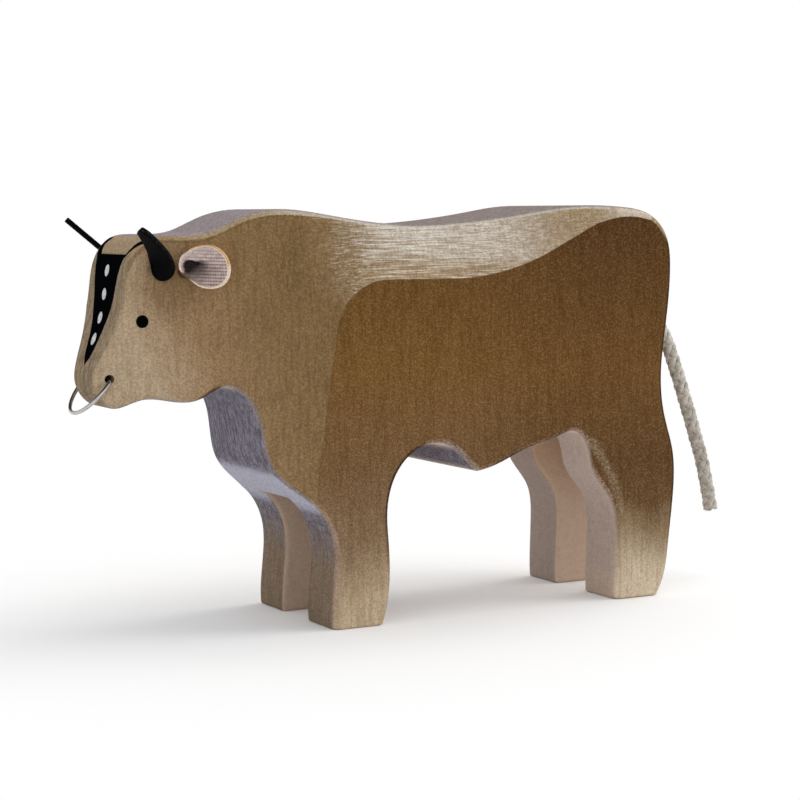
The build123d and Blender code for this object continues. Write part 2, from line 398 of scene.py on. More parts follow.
tailPiece, tailLine, tailAt = makeTail(tail)
cotton = cottonMaterial(tail)
dress(tailPiece, "bull", "cotton_cord", cotton, "tail")
fibres = dress(makeFuzz(fuzz, tail["diameter"] / 2 * mm, tailLine), "bull", "cotton_cord", cotton)
tail["diameter"] * mm
print("tail made, length in mm", round(float(tailAt[-1]) / mm, 1))


# Body: stained and painted wood, on the carved solid itself

body = {
    # the flank's stain by height, over the front leg and over the hind leg
    "frontFade": [(0, tone(202, 184, 156)), (5.5, tone(192, 172, 143)), (17, tone(138, 114, 88)),
                  (31, tone(121, 93, 63)), (50, tone(122, 90, 50)), (78, tone(104, 74, 39))],
    "hindFade": [(0, tone(218, 203, 179)), (4, tone(211, 195, 171)), (14.5, tone(147, 126, 99)),
                 (20, tone(106, 80, 53)), (29, tone(100, 73, 46)), (48, tone(112, 81, 45)),
                 (78, tone(88, 61, 34))],
    "fadeRun": (0, 80), "frontToHind": (0.0, 46.0), "wander": 8.0,
    # the carved side by its distance from the nose, along a line that slants with height
    "neckFade": [(-64, tone(178, 158, 130)), (-56, tone(182, 161, 133)), (-51, tone(175, 152, 124)),
                 (-42.5, tone(154, 127, 94)), (-30, tone(138, 113, 79)), (-20, tone(133, 108, 74))],
    "neckRun": (-66, -18), "neckSlant": 0.35, "neckLevel": 60.0,
    # the pale band over the rounding between the side and the top
    "bandFade": [(-48, tone(160, 140, 112)), (-38, tone(172, 154, 122)), (-31, tone(170, 153, 122)),
                 (-24, tone(188, 177, 156)), (-16, tone(200, 192, 178)), (0, tone(206, 200, 190)),
                 (38, tone(200, 192, 182)), (50, tone(208, 199, 190)), (57, tone(158, 144, 128))],
    "bandRun": (-50, 60), "bandRagged": 10.0,
    "tones": {
        "mist": tone(118, 94, 62), "bare": tone(196, 178, 154), "backBrown": tone(164, 144, 114),
        "backPale": tone(208, 201, 190), "backHind": tone(161, 140, 110), "rimPale": tone(208, 197, 182),
        "streakDark": tone(146, 124, 96), "streakPale": tone(230, 226, 217), "roughTone": tone(164, 145, 120),
        "chestGrey": tone(140, 138, 152), "chestDark": tone(88, 83, 96), "brisket": tone(190, 193, 212),
        "legFront": tone(134, 118, 102), "hindNear": tone(181, 164, 155), "hindPale": tone(204, 188, 180),
        "hindFar": tone(164, 149, 141), "faceBrown": tone(154, 138, 116), "faceDark": tone(128, 114, 96),
        "poll": tone(168, 149, 122), "crown": tone(142, 134, 140), "backTop": tone(131, 121, 121),
        "underPale": tone(234, 220, 210), "chin": tone(160, 152, 152), "rearBrown": tone(108, 82, 54),
        "slotPale": tone(204, 182, 164), "slotHigh": tone(192, 166, 142), "thinChest": tone(150, 142, 148),
        "thinLeg": tone(176, 152, 136), "thinFace": tone(190, 170, 140), "pooled": tone(50, 34, 28),
        "speckDark": tone(158, 132, 106), "speckPale": tone(222, 200, 160),
        "mottleDark": tone(170, 146, 120), "grainDark": tone(170, 146, 124),
        "blackPaint": tone(4, 6, 8), "whitePaint": tone(212, 213, 212), "greyPaint": tone(176, 177, 176)},
    # noises: stretch, scale, detail, roughness
    "grains": {"speck": (even, 2.6, 1.5, 0.7), "mottle": (even, 0.8, 3.0, 0.6),
               "upright": ((1.5, 1.5, 0.14), 1.0, 3.0, 0.6), "dash": ((2.6, 2.6, 0.5), 1.0, 2.0, 0.5),
               "streak": ((0.09, 1.9, 2.3), 1.6, 3.0, 0.7), "drift": (even, 0.11, 2.0, 0.5),
               "ripple": ((0.3, 0.3, 1.0), 0.5, 2.0, 0.5)},
    "hornMist": (-47.0, -10.0, 66.0), "browWear": (-54.5, -9.0, 70.0),
    "muzzleEdge": (-53.5, 58.5, 0.55),  # x, z and slant of the line where the muzzle's flat begins
    "saddleSlant": 0.04, "climbRagged": 34.0, "climbLean": 0.4,
    "neckDrop": 0.24, "neckDropRun": (-23.0, -13.0),  # the pale band begins lower over the neck
    "rungs": (3.6, 9.0),  # saw marks across the front legs: turns to the millimetre, and their unevenness
    "briskLean": 0.17, "briskLevel": (20.0, 26.0), "briskRun": (-6.0, -10.0),
    "roughSpeck": (0.4, 0.64), "roughShare": (0.22, 0.34), "wornShare": (0.4, 0.6),
    "masks": {
        "climb": [("ragged", -22.0, -3.0), ("tilt", 0.03, 0.24)],  # from the neck up to the streaky back
        "saddle": [("x", 36.0, 12.0), ("x", -20.0, -4.0)],
        "legEdge": [("x", -8.5, -5.0), ("z", 52.0, 46.0)],
        "hoofEdge": [("z", 24.0, 20.0)],
        "rumpEdge": [("nx", 0.03, 0.12), ("x", 50.0, 56.0), ("z", 78.0, 73.0), ("nz", 0.25, 0.1)],
        "inSlot": [("away", 6.3, 5.9), ("sideways", 0.3, 0.7), ("z", 36.0, 34.0)],
        "hindFronts": [("nx", -0.4, -0.8), ("x", 20.0, 30.0)],
        "edge": [("sideways", 0.2, 0.45), ("nz", 0.25, 0.1), ("away", 9.0, 9.6)],
        "rounding": ["edge", ("leaning", 0.985, 0.85)],
        "farEdge": ["edge", ("sideways", 0.99, 0.9)],
        "faceOn": [("nx", -0.25, -0.45)]},
    "surfaces": {
        "back": ("backBrown", [
            ("backPale", 1.0, ("x", -18.0, -1.0), ("saddleTop", 68.6, 73.6)),
            ("backHind", 1.0, ("x", 14.0, 40.0)),
            ("streakDark", 0.7, "worn", ("streak", 0.56, 0.36)),
            ("streakPale", 0.75, "worn", ("streak", 0.48, 0.68))]),
        "rim": ("back", [("rimPale", 1.0, ("x", 43.5, 50.5))]),
        "sides": ("neck", [
            # painted shade around the horn's root
            ("mist", 0.55, ("hornFar", 8.5, 2.0)),
            # painted highlight on the head's side, just below the near strap
            ("thinFace", 0.4, ("browFar", 3.2, 0.5)),
            ("bare", 0.3, ("muzzle", 0.7, -0.7), ("z", 62.0, 57.0), ("x", -44.0, -48.0)),
            ("back", 1.0, "climb"),
            # painted shadow line just below the pale band over the neck and head
            ("mist", 0.6, ("rise", 0.08, 0.17), ("rise", 0.34, 0.28), ("x", -18.0, -24.0)),
            ("band", 0.9, ("rise", 0.28, 0.4), ("x", -52.0, -44.0)),
            ("flank", 1.0, "wrap"),
            ("flank", 1.0, ("away", 16.9, 16.985)),
            ("rim", 0.95, ("rimFar", 1.3, 1.08)),
            ("roughTone", 1.0, "rough", ("roughFar", 1.5, 0.4))]),
        "hindLegs": ("hindNear", [
            ("hindPale", 0.5, ("z", 14.0, 30.0)),
            ("bare", 0.5, ("z", 9.0, 1.0)),
            ("hindFar", 1.0, ("y", 1.0, 8.0))]),
        "face": ("faceBrown", [
            ("faceDark", 0.6, ("upright", 0.62, 0.4)),
            ("poll", 1.0, ("z", 72.0, 72.8))]),
        "front": ("chestGrey", [
            ("chestDark", 0.5, ("upright", 0.6, 0.38)),
            ("chestDark", 0.6, ("dash", 0.52, 0.62)),
            ("legFront", 1.0, ("z", 24.0, 10.0)),
            ("chestDark", 0.4, ("rungs", 0.45, 0.9), ("z", 15.0, 20.0), ("z", 27.0, 24.0)),
            # painted reflection of the pale floor, lighter on the brisket's down-facing turn
            ("brisket", 1.0, ("nz", -0.46, -0.68), ("z", 20.0, 25.0), ("z", 34.5, 29.0), ("x", 0.0, -10.0)),
            ("hindLegs", 1.0, ("x", 20.0, 30.0)),
            ("face", 1.0, ("x", -36.0, -46.0))]),
        "top": ("crown", [
            ("backTop", 1.0, ("x", -20.0, 10.0)),
            ("backPale", 0.4, ("streak", 0.45, 0.72)),
            ("poll", 1.0, ("x", -50.5, -52.0))]),
        "rear": ("rearBrown", [("bare", 1.0, ("z", 30.0, 4.0))]),
        "slotWall": ("slotPale", [
            # painted shade, darker and more orange, high in the slot between the hind legs
            ("slotHigh", 1.0, ("z", 14.0, 30.0), ("x", 20.0, 30.0)),
            ("legFront", 0.45, ("x", 20.0, 10.0))]),
        # the rounded front edges, paler: thinned stain and a painted highlight
        "thinned": ("thinLeg", [
            ("thinChest", 1.0, ("z", 22.0, 27.0)),
            ("thinFace", 1.0, ("x", -36.0, -44.0))]),
        "wood": ("underPale", [
            ("slotPale", 0.4, ("streak", 0.6, 0.4)),
            ("chin", 1.0, ("x", -30.0, -40.0)),
            ("rear", 1.0, ("nx", 0.35, 0.75)),
            ("front", 1.0, ("nx", -0.3, -0.7)),
            ("top", 1.0, ("nz", 0.35, 0.75)),
            ("sides", 1.0, ("sideways", 0.3, 0.82)),
            ("slotWall", 1.0, "inSlot"),
            # the stain is thinned by hands and sander on the rounded edges, which are also painted paler as a
            # highlight, and darker along the far ones towards the rear
            ("thinned", 0.55, "rounding", ("nx", -0.12, -0.4), ("x", 20.0, 10.0)),
            # darker along the far rounded edges towards the rear
            ("pooled", 0.85, "farEdge", ("nx", 0.05, 0.35), ("z", 5.0, 24.0)),
            ("thinLeg", 0.65, "rounding", ("nz", -0.12, -0.35), ("x", -8.0, -2.0), ("nx", 0.3, 0.0),
             ("speck", 0.38, 0.54))])},
    # speckle and grain: tone, zone, its share everywhere, more on stain, more low down, and the blend
    "sprays": [("speckDark", ("speck", 0.6, 0.34), 0.12, 0.22, 0.0, "MULTIPLY"),
               ("speckPale", ("speck", 0.48, 0.74), 0.05, 0.04, 0.03, "MIX"),
               ("mottleDark", ("mottle", 0.6, 0.36), 0.1, 0.0, 0.0, "MULTIPLY"),
               ("grainDark", ("upright", 0.6, 0.34), 0.0, 0.26, 0.0, "MULTIPLY")],
    "lowDown": (60.0, 5.0), "hindBare": 0.7,
    "painting": {"dotPaint": ("whitePaint", [("greyPaint", 1.0, ("speck", 0.6, 0.4))]),
                 "painted": ("sprayed", [("blackPaint", 1.0, "paint"), ("dotPaint", 1.0, "dots")])},
    "paintFill": 0.8, "rough": (0.6, 0.12), "specular": 0.0, "relief": ({"grain": 0.4}, 0.2, 0.0002),
    # black paint: the blaze's half width by height, its white dots, the straps to the horns, the eyes
    "blazeWidths": [(51.6, 0.0), (53.0, 1.3), (54.5, 2.0), (56.5, 2.55), (58.5, 3.1), (61.0, 4.1),
                    (63.0, 4.75), (66.0, 5.3), (68.0, 5.75), (70.0, 6.3), (72.3, 7.1)],
    "blazeUnit": 10.0, "blazeSoft": 0.08, "blazeEndSoft": 0.1, "blazeBack": (-40.0, -42.0),
    "dots": [56.5, 60.46, 64.85, 69.26], "dotWidth": 0.98, "dotHeight": 1.1, "dotSoft": (1.12, 0.88),
    "straps": [(0.42, [(-54.9, -7.0, 72.0), (-54.3, -8.1, 73.15), (-53.0, -8.9, 74.3),
                       (-51.8, -9.4, 74.8), (-49.5, -10.8, 71.6)]),
               (0.85, [(-55.1, 5.8, 71.6), (-54.6, 6.85, 72.7), (-53.8, 7.6, 73.8),
                       (-52.4, 7.3, 75.0), (-49.5, 10.6, 72.0)])],
    "strapWander": 0.5, "eye": (-52.9, 60.0), "eyeRadius": 1.2, "eyeSoft": 0.06, "eyeAway": (7.0, 8.0),
    # the rough strip that the saw left by the hind leg
    "roughEdge": [(42.0, -17.0, 33.4), (44.4, -17.0, 30.0), (46.6, -17.0, 26.6), (48.4, -17.0, 22.6),
                  (49.2, -17.0, 18.6)],
    # where the sander ran off the carving on to both flanks, below the rim over the rump
    "rimEdge": [(43.0, 17.0, 78.8), (46.1, 17.0, 79.65), (48.6, 17.0, 80.1), (51.1, 17.0, 80.2),
                (53.6, 17.0, 80.05), (56.1, 17.0, 79.5)]}


def strokeDistance(p, at, stroke):
    # the distance from a point to the nearest of the straight runs of a stroke, a strip or an edge
    nearest = None
    for a, b in zip(stroke, stroke[1:]):
        a, b = np.array(a), np.array(b)
        away = p.node("ShaderNodeVectorMath", {"operation": "SUBTRACT"}, {0: at, 1: tuple(a)})
        share = p.node("ShaderNodeVectorMath", {"operation": "DOT_PRODUCT"},
                       {0: away, 1: tuple((b - a) / np.dot(b - a, b - a))}, "Value")
        near = p.node("ShaderNodeVectorMath", {"operation": "SCALE"},
                      {0: tuple(b - a), "Scale": (share | 0.0) & 1.0})
        left = p.node("ShaderNodeVectorMath", {"operation": "DISTANCE"}, {0: away, 1: near}, "Value")
        nearest = left if nearest is None else nearest & left
    return nearest


def woodSockets(p, b, at):
    # everything that the zones and layers name: tones, noises, places and directions
    x, y, z = p.split(at)
    nx, ny, nz = p.split(p.node("ShaderNodeTexCoord", {}, {}, "Normal"))
    away, sideways = abs(y), abs(ny)
    w = {**p.named(b, at), "x": x, "y": y, "z": z, "nx": nx, "nz": nz, "away": away, "sideways": sideways}
    wander = (w["drift"] - 0.5) * b["wander"]
    w["flank"] = p.mix(p.step(x, *b["frontToHind"]), p.ramp(z + wander, *b["fadeRun"], b["frontFade"]),
                       p.ramp(z + wander, *b["fadeRun"], b["hindFade"]))
    w["neck"] = p.ramp(x + ((z - b["neckLevel"]) * b["neckSlant"]) + wander, *b["neckRun"], b["neckFade"])
    w["band"] = p.ramp(x + ((w["streak"] - 0.5) * b["bandRagged"]), *b["bandRun"], b["bandFade"])
    w["hornFar"], w["browFar"] = p.distance(at, b["hornMist"]), p.distance(at, b["browWear"])
    muzzleX, muzzleZ, muzzleSlant = b["muzzleEdge"]
    w["muzzle"] = x - muzzleX - ((muzzleZ - z) * muzzleSlant)
    w["saddleTop"] = z + (x * b["saddleSlant"])
    w["ragged"] = x + ((w["streak"] - 0.5) * b["climbRagged"])
    w["tilt"] = nz + (nx * b["climbLean"])
    w["rise"] = nz - (p.step(x, *b["neckDropRun"]) * b["neckDrop"])
    turns, uneven = b["rungs"]
    w["rungs"] = p.wave((z * turns) + (w["ripple"] * uneven))
    w["leaning"] = sideways + (p.step(z, *b["briskLevel"]) * p.step(x, *b["briskRun"]) * b["briskLean"])
    folded = p.node("ShaderNodeCombineXYZ", {}, {0: x, 1: away, 2: z})  # both sides as one
    w["rimFar"] = strokeDistance(p, folded, b["rimEdge"])
    w["roughFar"] = strokeDistance(p, at, b["roughEdge"])
    low, more = b["roughShare"]
    w["rough"] = low + (p.step(w["speck"], *b["roughSpeck"]) * more)
    for name, zones in b["masks"].items():
        w[name] = p.mask(w, 1.0, zones)
    low, more = b["wornShare"]
    w["worn"] = low + (w["saddle"] * more)
    # the flank's own stain goes round its rounded edge on the belly, the legs and the rump
    w["wrap"] = w["legEdge"] | w["hoofEdge"] | w["rumpEdge"]
    return w


def sprayed(p, b, w, colour):
    # speckle and grain over everything, but little on the slots' walls and the hind legs' fronts
    stained = (1.0 - w["inSlot"]) * (1.0 - (w["hindFronts"] * b["hindBare"]))
    lowDown = p.step(w["z"], *b["lowDown"])
    for name, zone, everywhere, onStain, lower, blend in b["sprays"]:
        share = everywhere + (stained * (onStain + (lowDown * lower)))
        colour = p.mix(p.mask(w, share, [zone]), colour, w[name], blend)
    return colour


def paintedMarks(p, b, w, at):
    # masks: the blaze with its straps and the eyes, and the dots on the blaze
    x, y, z, away = (w[k] for k in ("x", "y", "z", "away"))
    low, high = b["blazeWidths"][0][0], b["blazeWidths"][-1][0]
    stops = [(height, (half / b["blazeUnit"],) * 3) for height, half in b["blazeWidths"]]
    half = p.split(p.ramp(z, low, high, stops))[0] * b["blazeUnit"]
    soft, end = b["blazeSoft"], b["blazeEndSoft"]
    blaze = p.step(half - away, -soft, soft) * p.step(z, high + end, high - end)
    blaze = blaze * p.step(z, low - end, low + end) * w["faceOn"] * p.step(x, *b["blazeBack"])
    for width, stroke in b["straps"]:
        reach = strokeDistance(p, at, stroke) + ((w["drift"] - 0.5) * b["strapWander"])
        blaze = blaze | p.step(reach, width + soft, width - soft)
    eyeX, eyeZ = b["eye"]
    eye = ((x - eyeX) ** 2.0) + ((z - eyeZ) ** 2.0)
    eye = p.step(eye, (b["eyeRadius"] + b["eyeSoft"]) ** 2, (b["eyeRadius"] - b["eyeSoft"]) ** 2)
    dots = None
    for dotZ in b["dots"]:
        spot = ((y / b["dotWidth"]) ** 2.0) + (((z - dotZ) / b["dotHeight"]) ** 2.0)
        spot = p.step(spot, *b["dotSoft"])
        dots = spot if dots is None else dots | spot
    return blaze | (eye * p.step(away, *b["eyeAway"])), dots * blaze * w["faceOn"]


def woodMaterial(b):
    p = Paint("stained_wood")
    at = p.place()
    w = woodSockets(p, b, at)
    w["sprayed"] = sprayed(p, b, w, p.layered(w, b["surfaces"]))
    w["paint"], w["dots"] = paintedMarks(p, b, w, at)
    grain = w["upright"] + w["speck"] + (w["streak"] * w["climb"])
    w["grain"] = grain * (1.0 - (w["paint"] * b["paintFill"]))
    low, more = b["rough"]
    return p.surface(colour=p.layered(w, b["painting"]), rough=low + (w["speck"] * more),
                     specular=b["specular"], normal=p.relief(w, *b["relief"]))


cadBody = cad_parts["body"]
cadBody.data.materials.clear()
cadBody.data.materials.append(woodMaterial(body))
print("body painted")


# Horns: a flat leather blade that rolls up into its round root

horn = {"seat": (-48.746, 10.0, 69.593), "depth": 4.9, "radius": 2.2, "thick": 1.1, "face": (0.6, 0.2, 0.8),
        "inner": [(0.29, -2.3), (2.9, -1.9), (5.9, -1.1), (8.6, -0.78), (10.8, -0.72), (12.7, -0.7)],
        "outer": [(0.86, 2.5), (4.9, 4.0), (7.7, 3.95), (10.5, 3.2), (12.2, 2.5), (13.3, 1.95)],
        "tip": (14.2, 0.6), "bulge": 2.45, "bulgeAt": (0.45, 0.9), "sides": 44, "rows": 46, "ease": 8,
        "tipRows": (0.3, 0.55, 0.75, 0.88), "tipThick": 0.86, "squareness": (0.35, 0.5),
        "rootRows": (-2.0, -0.4, 0.1), "join": 10, "swell": (0.0, 0.35), "settle": (0.25, 1.0),
        "left": (-0.583, -0.610, 0.536), "right": (-0.557, 0.560, 0.613), "grow": {-1: 1.0, 1: 1.076},
        "tones": {"black": tone(3, 4, 8), "rubbed": tone(13, 14, 19), "raw": tone(48, 48, 40)},
        "grains": {"fine": (even, 5.5, 4.0, 0.6), "wear": (even, 1.6, 3.0, 0.5)}, "cells": 3.2,
        "creases": [("cells", 0.0, 0.12)],
        "surfaces": {"leather": ("black", [
            ("rubbed", 0.5, ("wear", 0.5, 0.8)),
            # the cut edge, paler on one side only: raw leather, and a painted highlight where the light
            # catches it
            ("raw", 0.6, ("cosine", 0.86, 0.97), ("run", 0.2, 0.35), ("wear", 0.4, 0.66))])},  # the cut edge
        "relief": ({"creased": 0.6, "fine": 0.5}, 0.2, 0.00006), "rough": (0.6, 0.2), "specular": 0.05}


def makeHorn(name, side, along, h):
    along = unit(along)
    flat = unit((h["face"][0], -side * h["face"][1], h["face"][2]))
    across = unit(np.cross(flat, along)) * -side
    face = np.cross(along, across)
    seat = np.array([h["seat"][0], side * h["seat"][1], h["seat"][2]]) * mm
    longer = np.array([h["grow"][side], 1.0])
    innerEdge, outerEdge, tip = (np.array(h[k]) * longer for k in ("inner", "outer", "tip"))
    t, k = np.linspace(0, 1, h["rows"]), np.linspace(0, 1, len(innerEdge))
    a, b = (np.stack([np.interp(t, k, edge[:, i]) for i in (0, 1)], -1) for edge in (innerEdge, outerEdge))
    for edge in (a, b):  # ease the corners that straight runs leave
        for _ in range(h["ease"]):
            edge[1:-1] = (edge[:-2] + 2 * edge[1:-1] + edge[2:]) / 4
    last = np.array(h["tipRows"])[:, None]
    a, b = (np.vstack([edge, edge[-1] + (tip - edge[-1]) * last]) for edge in (a, b))
    thick = np.full(len(a), h["thick"])
    thick[-1] *= h["tipThick"]
    turn = np.linspace(0, 2 * math.pi, h["sides"], endpoint=False)
    # a slab's section: cosine and sine drawn out towards a rectangle
    wide, high = (np.sign(c) * np.abs(c) ** power
                  for c, power in zip((np.cos(turn), np.sin(turn)), h["squareness"]))
    centre, half = (a + b) / 2, (b - a) / 2
    spread = centre[:, None] + half[:, None] * wide[None, :, None]
    blade = seat + (along * spread[..., :1] + across * spread[..., 1:]
                    + face * (high[None, :, None] * thick[:, None, None] / 2)) * mm
    # the round root, then rows between that turn its circle through a bulge into the slab
    out = np.array([0, side, 0.0])
    first = unit(across - out * np.dot(across, out))
    second = np.cross(out, first) * np.sign(np.dot(np.cross(across, face), along))
    circle = (first * np.cos(turn)[:, None] + second * np.sin(turn)[:, None]) * mm
    root = [seat + out * d * mm + circle * h["radius"] for d in (-h["depth"], *h["rootRows"])]
    lift, stand = h["bulgeAt"]
    bulge = seat + out * stand * mm + circle * h["bulge"] + unit(along - out * np.dot(along, out)) * lift * mm
    join = h["join"]
    steps = np.linspace(0, 1, join + 1)[1:, None, None]
    swell, settle = smooth(steps, *h["swell"]), smooth(steps, *h["settle"])
    blend = (1 - settle) * ((1 - swell) * root[-1] + swell * bulge) + settle * blade[:join]
    grid = np.concatenate([np.stack(root), blend, blade[join:]])
    marks = np.zeros_like(grid)
    marks[..., 0], marks[..., 1] = np.cos(turn), np.sin(turn)
    marks[..., 2] = np.linspace(0, 1, len(grid))[:, None]
    return gridMesh(name, [grid], [marks])


def hornMaterial(h):
    p = Paint("black_leather")
    at = p.place()
    w = p.named(h, at)
    w["cosine"], _, w["run"] = p.mark()
    w["cells"] = p.node("ShaderNodeTexVoronoi", {"feature": "DISTANCE_TO_EDGE"},
                        {"Vector": at, "Scale": h["cells"]})
    w["creased"] = p.mask(w, 1.0, h["creases"])
    low, more = h["rough"]
    return p.surface(colour=p.layered(w, h["surfaces"]), rough=low + (w["fine"] * more),
                     specular=h["specular"], normal=p.relief(w, *h["relief"]))


blackLeather = hornMaterial(horn)
for name, side, way in (("left_horn", -1, horn["left"]), ("right_horn", 1, horn["right"])):
    dress(makeHorn(name + "_blade", side, way, horn), "bull", "black_leather", blackLeather, name)
print("horns made")


# Ears: a scoop of leather pinched at its stem, its near end curled over a deep hollow

ear = {"seat": (-44.886, 10.6, 68.861), "direction": (0.6, 0.79, 0.1), "depth": 4.4, "stem": 0.9,
       "outline": [(-0.71, 1.75), (-0.34, 2.65), (0.41, 3.39), (1.83, 4.18), (3.07, 4.57), (4.14, 4.67),
                   (5.59, 4.62), (7.36, 3.99), (8.79, 2.7), (9.54, 1.25), (9.65, -0.13), (9.21, -1.7),
                   (8.16, -2.87), (6.52, -3.42), (4.69, -3.32), (2.9, -2.75), (1.69, -1.85), (0.48, -0.95),
                   (-0.3, -0.1), (-0.72, 0.8)],
       "middle": (4.3, 0.5), "ease": 10, "tilt": 0.448, "bowl": 0.9, "thick": 0.9, "clear": 10.72,
       "flare": 0.062, "rings": 54, "spokes": 150, "innermost": 0.02, "crowd": 0.9, "rim": (0.97, 16),
       "fleshRoom": 0.3,
       "curl": 1.5, "curlRun": (4.2, -0.6), "curlRise": (-1.6, 1.0), "curlRim": 0.6,
       # the hollow: its middle, how far and which way it opens, and the ridge round its steep side
       "pit": (1.15, 1.2), "pitRadius": 1.15, "pitOpen": 3.1, "pitLong": 0.6, "pitDepth": 1.7,
       "pitWay": (0.6, -0.8), "pitFan": (-0.1, 0.95), "pitFloor": 0.75, "ridge": (0.2, 2.5, 0.5),
       "stemSides": 20, "stemRows": (-1.0, -0.2, 0.11),
       # the rows of small pits on the flesh side, broken into dots towards the wide end
       "lineGap": 0.62, "lineTilt": 0.12, "lineDepth": 0.03, "lineRing": (0.1, 0.3),
       "dotGap": 0.55, "dotWander": 3.0, "dotsCut": 0.7, "leftShare": 0.35, "upperFade": 0.6,
       "masks": {"right": [("far", 2.4, 4.6)], "inRow": [("rows", -0.3, 0.8)], "apart": [("pits", 0.5, -0.4)],
                 "pitted": [("fine", 0.25, 0.5)], "upper": [("up", 1.5, 4.0)]},
       "shadeEdge": 1.02, "shadeSoft": 0.85, "edgeWobble": 0.05, "edgeSlant": 0.35,
       "tones": {"pink": tone(216, 198, 192), "greyPink": tone(184, 164, 160), "dun": tone(150, 126, 118),
                 "pitBrown": tone(76, 58, 54), "deep": tone(16, 10, 10), "stemBrown": tone(96, 72, 62),
                 "tan": tone(214, 162, 98), "darkTan": tone(164, 114, 66), "handled": tone(84, 58, 40),
                 "cream": tone(244, 228, 212), "darkCream": tone(200, 168, 140), "soiled": tone(78, 56, 46)},
       "grains": {"soft": (even, 1.2, 3.0, 0.5), "fine": (even, 4.5, 3.0, 0.5)},
       "surfaces": {
           "flesh": ("pink", [
               ("greyPink", 1.0, ("soft", 0.35, 0.7)),
               ("dun", 0.3, ("up", 1.6, -1.2)),
               ("pitBrown", 0.9, "pattern"),
               # painted shade in the hollow under the curl
               ("deep", 0.97, "shade"),
               ("stemBrown", 0.5, ("far", 1.6, 0.2), ("up", 0.2, -1.0))]),
           "skin": ("tan", [
               ("darkTan", 0.6, ("soft", 0.4, 0.7)),
               # painted shade on the skin side by the stem, and on the stem down in its hole
               ("handled", 1.0, ("far", 2.2, 0.8))]),
           "cut": ("cream", [
               ("darkCream", 0.7, ("fine", 0.45, 0.6)),
               # painted shade on the cut rim at the lower left, by the stem
               ("soiled", 0.9, ("far", 1.9, 0.7), ("up", 0.5, -0.3))]),
           "leather": ("flesh", [
               ("skin", 1.0, ("layer", 1.0, 1.02)),
               ("cut", 1.0, ("wobble", 0.9, 0.93), ("layer", 1.06, 1.02)),
               ("skin", 0.85, ("wobble", 0.94, 0.96), ("layer", 1.06, 1.02), ("upEdge", 3.2, 4.4))])},
       "relief": ({"soft": 0.5, "fine": 0.3}, 0.4, 0.00015), "finish": {"rough": 0.85, "specular": 0.1}}


def makeEar(name, side, e):
    along = unit((e["direction"][0], side * e["direction"][1], e["direction"][2]))
    facing = unit(np.cross(along, [0, 0, -side]))
    upward = np.cross(along, facing) * side
    seat = np.array([e["seat"][0], side * e["seat"][1], e["seat"][2]]) * mm
    outline, middle = np.array(e["outline"]), np.array(e["middle"])
    # the outline as a radius over the angle round the middle, eased and evenly divided
    away = outline - middle
    angle, radius = np.arctan2(away[:, 1], away[:, 0]), np.hypot(away[:, 0], away[:, 1])
    order = np.argsort(angle)
    phi = np.linspace(-math.pi, math.pi, e["spokes"], endpoint=False)
    edge = np.interp(phi, angle[order], radius[order], period=2 * math.pi)
    for _ in range(e["ease"]):
        edge = (np.roll(edge, 1) + 2 * edge + np.roll(edge, -1)) / 4
    rho = np.linspace(e["innermost"], 1, e["rings"])[:, None] ** e["crowd"]  # share of the way out
    f = middle[0] + rho * edge * np.cos(phi)
    w = middle[1] + rho * edge * np.sin(phi)
    # height: a bowl, a curled near end, and a pit with a steep wall towards the curl
    near = smooth(f, *e["curlRun"])
    curl = near * smooth(w, *e["curlRise"]) * (1 - e["curlRim"] + e["curlRim"] * rho ** 2)
    height = e["curl"] * curl - e["bowl"] * (1 - rho ** 2)
    pf, pw = f - e["pit"][0], w - e["pit"][1]
    pf = np.where(pf > 0, pf * e["pitLong"], pf)
    r = np.hypot(pf, pw)
    wayF, wayW = e["pitWay"]
    opened = smooth((pf * wayF + pw * wayW) / np.maximum(r, 1e-6), *e["pitFan"])  # 1 down to the wide end
    floor = e["pitRadius"] * e["pitFloor"] * (1 - opened)
    pit = 1 - smooth(r, floor, e["pitRadius"] + e["pitOpen"] * opened)
    ridgeHeight, ridgeFar, ridgeWide = e["ridge"]
    ridge = ridgeHeight * np.exp(-((r - ridgeFar) / ridgeWide) ** 2) * (1 - opened) * near
    rows = np.sin((w + e["lineTilt"] * f) * 2 * math.pi / e["lineGap"]) * smooth(rho, *e["lineRing"])
    height = height - e["pitDepth"] * pit + ridge + e["lineDepth"] * rows * (1 - pit)
    flat = f
    f = f + e["tilt"] * height  # so that it keeps its outline from in front
    rimShare, power = e["rim"]
    thick = e["thick"] * np.sqrt(np.clip(1 - (rho * rimShare) ** power, 0, 1))  # the rim is rounded

    def worldPoints(h, room):
        at = seat + (along * f[..., None] + upward * w[..., None] + facing * h[..., None]) * mm
        clear = (e["clear"] + room + e["flare"] * (at[..., 0] / mm - e["seat"][0])) * mm
        at[..., 1] = side * np.maximum(side * at[..., 1], clear)
        return at

    inside, outside = worldPoints(height, e["fleshRoom"]), worldPoints(height - thick, 0.0)
    shell = np.concatenate([inside, outside[::-1]])
    layer = np.broadcast_to(rho, f.shape)  # 0 to 1 over the flesh side, 1 to 2 over the skin side
    marks = np.concatenate([np.stack([w, flat, layer], -1), np.stack([w, flat, 2 - layer], -1)[::-1]])
    out = np.array([0, side, 0.0])
    turn = np.linspace(0, 2 * math.pi, e["stemSides"], endpoint=False)
    circle = np.stack([np.cos(turn), 0 * turn, np.sin(turn) * side], -1) * e["stem"] * mm
    reach = np.array([-e["depth"], *e["stemRows"]])[:, None, None] * mm
    stem = seat + out * reach + circle[None]
    return gridMesh(name, [shell, stem], [marks, np.zeros_like(stem) + [0.0, 0.0, 2.0]])


